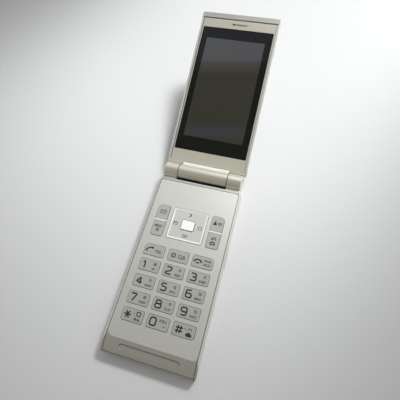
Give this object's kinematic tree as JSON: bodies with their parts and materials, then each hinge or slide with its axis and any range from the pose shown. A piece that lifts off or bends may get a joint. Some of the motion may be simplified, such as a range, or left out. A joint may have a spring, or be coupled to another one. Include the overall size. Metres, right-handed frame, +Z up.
{
  "type": "flip phone",
  "caption": "Slim flip phone lying open on its back: keypad base with sprung keys and four-way key, barrel hinge, and a lid with a large display.",
  "frame": {"origin": "on the flat back face, midway along the base and across it", "axes": "+X to the right of the keypad, +Y from the chin to the lid, +Z up out of the keypad"},
  "size_m": [0.0508, 0.2111, 0.0387],
  "materials": {
    "case_silver": "pearl silver-white paint, semi-gloss",
    "panel_silver": "pearl silver-white, satin",
    "strip_white": "bright white, glossy",
    "champagne_metal": "brushed champagne anodised",
    "barrel_satin": "satin metallic champagne-silver paint",
    "steel": "plain",
    "rubber_sheet": "matt",
    "board_green": "solder mask",
    "battery_black": "matt wrap on an aluminium can",
    "gold": "plated",
    "black_plastic": "matt",
    "black_glass": "polished, black printed",
    "display_dark": "dark, off",
    "flex_amber": "polyimide film",
    "key_grey": "silver-grey, satin",
    "select_white": "glossy white"
  },
  "bodies": {
    "base": {"front_case": "case_silver", "rear_case": "case_silver", "keypad_panel": "panel_silver", "divider_strips": "strip_white", "knuckle_left": "barrel_satin", "knuckle_right": "barrel_satin", "hinge_unit": "steel", "hinge_pin": "steel", "dome_sheet": "rubber_sheet", "main_board": "board_green", "shield_can": "steel", "card_reader": "steel", "battery": "battery_black", "battery_contacts": "gold", "camera_module": "black_plastic", "camera_window": "black_glass", "vibration_motor": "steel", "loudspeaker": "black_plastic", "microphone": "steel", "antenna": "gold", "io_connector": "steel", "charge_contacts": "gold", "case_screws": "steel"},
    "lid": {"lid_frame": "case_silver", "lid_panel": "champagne_metal", "display_window": "black_glass", "lcd_module": "display_dark", "lid_cover": "case_silver", "hinge_barrel": "barrel_satin", "hinge_cam": "steel", "earpiece": "black_plastic", "light_sensor": "black_glass", "lid_magnet": "steel", "lid_screws": "steel", "flex_cable": "flex_amber"},
    "key_mail": {"key_mail": "key_grey"},
    "key_menu": {"key_menu": "key_grey"},
    "key_address": {"key_address": "key_grey"},
    "key_camera": {"key_camera": "key_grey"},
    "key_call": {"key_call": "key_grey"},
    "key_clear": {"key_clear": "key_grey"},
    "key_end": {"key_end": "key_grey"},
    "key_1": {"key_1": "key_grey"},
    "key_2": {"key_2": "key_grey"},
    "key_3": {"key_3": "key_grey"},
    "key_4": {"key_4": "key_grey"},
    "key_5": {"key_5": "key_grey"},
    "key_6": {"key_6": "key_grey"},
    "key_7": {"key_7": "key_grey"},
    "key_8": {"key_8": "key_grey"},
    "key_9": {"key_9": "key_grey"},
    "key_star": {"key_star": "key_grey"},
    "key_0": {"key_0": "key_grey"},
    "key_hash": {"key_hash": "key_grey"},
    "direction_key": {"direction_key": "key_grey"},
    "select_key": {"select_key": "select_white"},
    "rocker_plate": {"rocker_plate": "rubber_sheet"},
    "side_key": {"side_key": "case_silver"},
    "port_cover": {"port_cover": "case_silver"},
    "battery_cover": {"battery_cover": "case_silver"}
  },
  "joints": [
    {"name": "lid_hinge", "type": "hinge", "parent": "base", "child": "lid", "pos_m": [0, 0.0562, 0.0068], "axis": [1, 0, 0], "range_deg": [0, 161.8]},
    {"name": "key_mail_press", "type": "slide", "parent": "base", "child": "key_mail", "axis": [0, 0, -1], "range_m": [0, 0.00025], "stiffness_N_per_m": 400},
    {"name": "key_menu_press", "type": "slide", "parent": "base", "child": "key_menu", "axis": [0, 0, -1], "range_m": [0, 0.00025], "stiffness_N_per_m": 400},
    {"name": "key_address_press", "type": "slide", "parent": "base", "child": "key_address", "axis": [0, 0, -1], "range_m": [0, 0.00025], "stiffness_N_per_m": 400},
    {"name": "key_camera_press", "type": "slide", "parent": "base", "child": "key_camera", "axis": [0, 0, -1], "range_m": [0, 0.00025], "stiffness_N_per_m": 400},
    {"name": "key_call_press", "type": "slide", "parent": "base", "child": "key_call", "axis": [0, 0, -1], "range_m": [0, 0.00025], "stiffness_N_per_m": 400},
    {"name": "key_clear_press", "type": "slide", "parent": "base", "child": "key_clear", "axis": [0, 0, -1], "range_m": [0, 0.00025], "stiffness_N_per_m": 400},
    {"name": "key_end_press", "type": "slide", "parent": "base", "child": "key_end", "axis": [0, 0, -1], "range_m": [0, 0.00025], "stiffness_N_per_m": 400},
    {"name": "key_1_press", "type": "slide", "parent": "base", "child": "key_1", "axis": [0, 0, -1], "range_m": [0, 0.00025], "stiffness_N_per_m": 400},
    {"name": "key_2_press", "type": "slide", "parent": "base", "child": "key_2", "axis": [0, 0, -1], "range_m": [0, 0.00025], "stiffness_N_per_m": 400},
    {"name": "key_3_press", "type": "slide", "parent": "base", "child": "key_3", "axis": [0, 0, -1], "range_m": [0, 0.00025], "stiffness_N_per_m": 400},
    {"name": "key_4_press", "type": "slide", "parent": "base", "child": "key_4", "axis": [0, 0, -1], "range_m": [0, 0.00025], "stiffness_N_per_m": 400},
    {"name": "key_5_press", "type": "slide", "parent": "base", "child": "key_5", "axis": [0, 0, -1], "range_m": [0, 0.00025], "stiffness_N_per_m": 400},
    {"name": "key_6_press", "type": "slide", "parent": "base", "child": "key_6", "axis": [0, 0, -1], "range_m": [0, 0.00025], "stiffness_N_per_m": 400},
    {"name": "key_7_press", "type": "slide", "parent": "base", "child": "key_7", "axis": [0, 0, -1], "range_m": [0, 0.00025], "stiffness_N_per_m": 400},
    {"name": "key_8_press", "type": "slide", "parent": "base", "child": "key_8", "axis": [0, 0, -1], "range_m": [0, 0.00025], "stiffness_N_per_m": 400},
    {"name": "key_9_press", "type": "slide", "parent": "base", "child": "key_9", "axis": [0, 0, -1], "range_m": [0, 0.00025], "stiffness_N_per_m": 400},
    {"name": "key_star_press", "type": "slide", "parent": "base", "child": "key_star", "axis": [0, 0, -1], "range_m": [0, 0.00025], "stiffness_N_per_m": 400},
    {"name": "key_0_press", "type": "slide", "parent": "base", "child": "key_0", "axis": [0, 0, -1], "range_m": [0, 0.00025], "stiffness_N_per_m": 400},
    {"name": "key_hash_press", "type": "slide", "parent": "base", "child": "key_hash", "axis": [0, 0, -1], "range_m": [0, 0.00025], "stiffness_N_per_m": 400},
    {"name": "select_key_press", "type": "slide", "parent": "direction_key", "child": "select_key", "axis": [0, 0, -1], "range_m": [0, 0.00025], "stiffness_N_per_m": 400},
    {"name": "rocker_tilt_up_down", "type": "hinge", "parent": "base", "child": "rocker_plate", "pos_m": [0, 0.02305, 0.0074], "axis": [1, 0, 0], "range_deg": [-1, 1], "stiffness_Nm_per_rad": 0.05},
    {"name": "direction_tilt_left_right", "type": "hinge", "parent": "rocker_plate", "child": "direction_key", "pos_m": [0, 0.02305, 0.0074], "axis": [0, 1, 0], "range_deg": [-1, 1], "stiffness_Nm_per_rad": 0.05},
    {"name": "side_key_press", "type": "slide", "parent": "base", "child": "side_key", "axis": [-1, 0, 0], "range_m": [0, 0.0003], "stiffness_N_per_m": 400},
    {"name": "port_cover_hinge", "type": "hinge", "parent": "base", "child": "port_cover", "pos_m": [-0.02487, 0.04502, 0.0032], "axis": [0, 0, -1], "range_deg": [0, 100]},
    {"name": "battery_cover_slide", "type": "slide", "parent": "base", "child": "battery_cover", "axis": [0, -1, 0], "range_m": [0, 0.004]}
  ]
}
